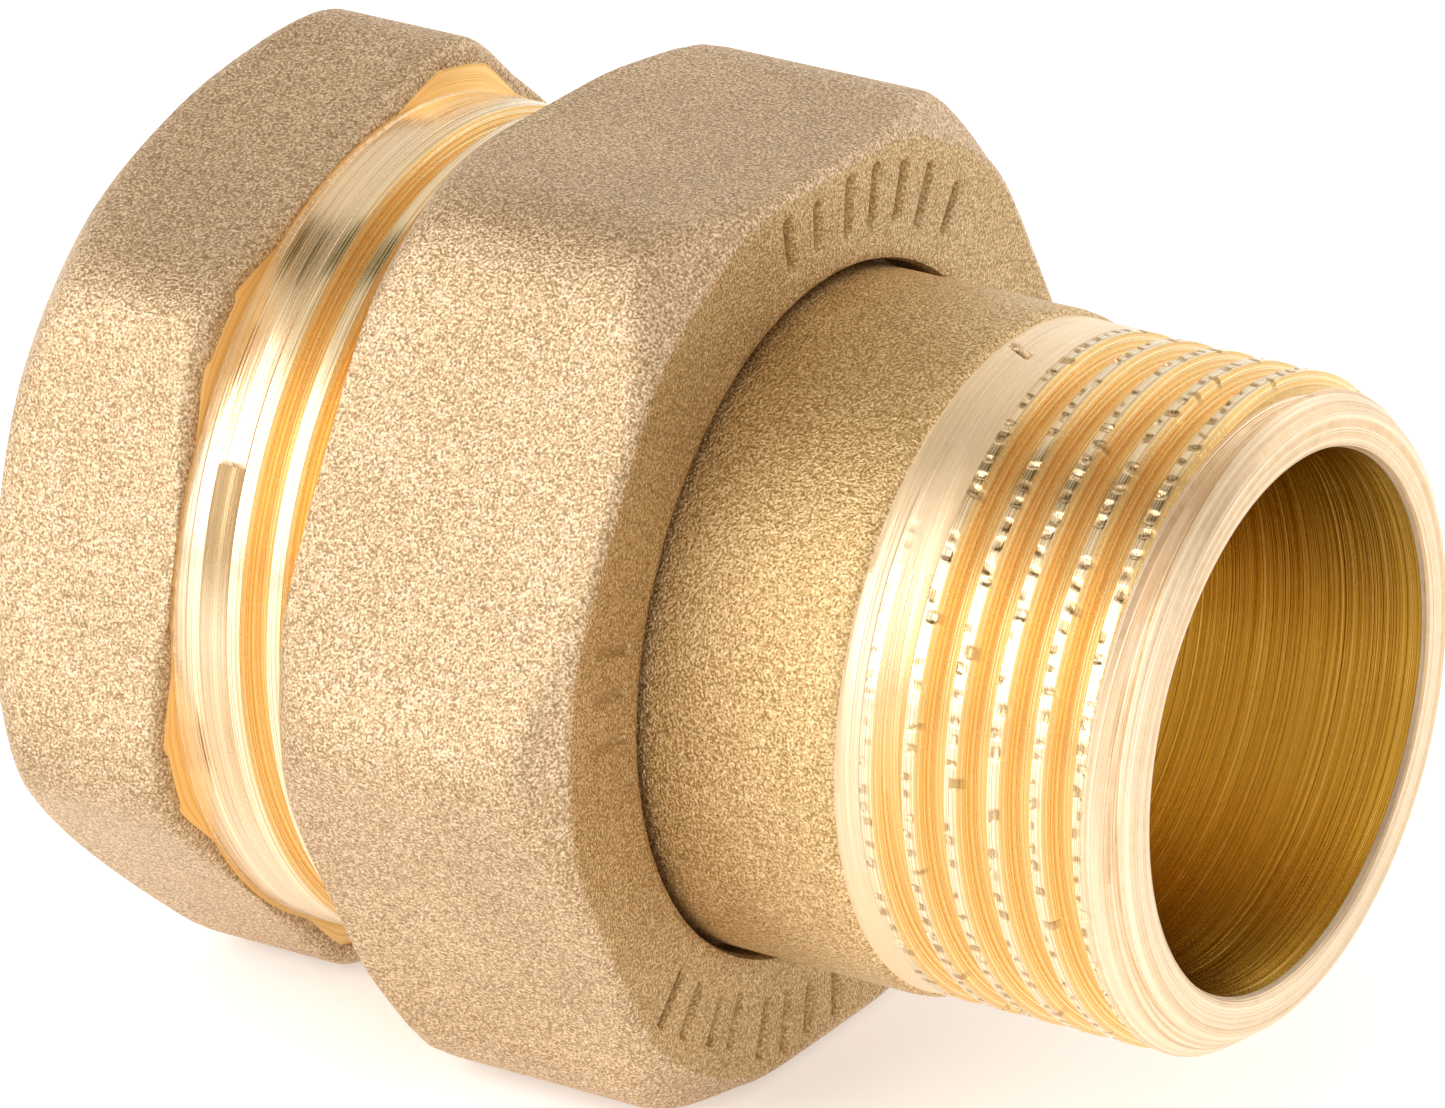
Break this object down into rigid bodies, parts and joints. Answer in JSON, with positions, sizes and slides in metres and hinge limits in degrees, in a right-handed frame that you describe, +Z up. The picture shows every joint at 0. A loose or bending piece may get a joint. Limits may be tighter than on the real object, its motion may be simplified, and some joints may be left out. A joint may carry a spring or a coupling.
{
  "type": "pipe union",
  "caption": "Straight male and female brass pipe union with a hexagon nut over a swivelling tailpiece and a coned, ring-sealed joint inside.",
  "frame": {"origin": "on the flow axis at the mouth of the female pipe socket", "axes": "+X along the flow axis towards the male pipe thread, +Z up and square to a flat of the nut"},
  "size_m": [0.0605, 0.0514, 0.0468],
  "materials": {
    "body_brass": "cast and blasted, with turned thread and collar",
    "nut_brass": "cast and blasted",
    "tail_brass": "cast neck, turned thread and bore",
    "seal_rubber": "matte black"
  },
  "bodies": {
    "body": {"female_body": "body_brass"},
    "seal": {"seal_ring": "seal_rubber"},
    "nut": {"union_nut": "nut_brass"},
    "tail": {"male_tailpiece": "tail_brass"}
  },
  "joints": [
    {"name": "seal_draw", "type": "slide", "parent": "body", "child": "seal", "axis": [1, 0, 0], "range_m": [0, 0.00693]},
    {"name": "nut_turn", "type": "hinge", "parent": "seal", "child": "nut", "pos_m": [0.027, 0, 0], "axis": [1, 0, 0], "range_deg": [0, 1080]},
    {"name": "tail_swivel", "type": "hinge", "parent": "seal", "child": "tail", "pos_m": [0.045, 0, 0], "axis": [1, 0, 0], "continuous": true}
  ],
  "couplings": [
    {"joint": "seal_draw", "follows": "nut_turn", "m_per_rad": 0.00036749}
  ]
}
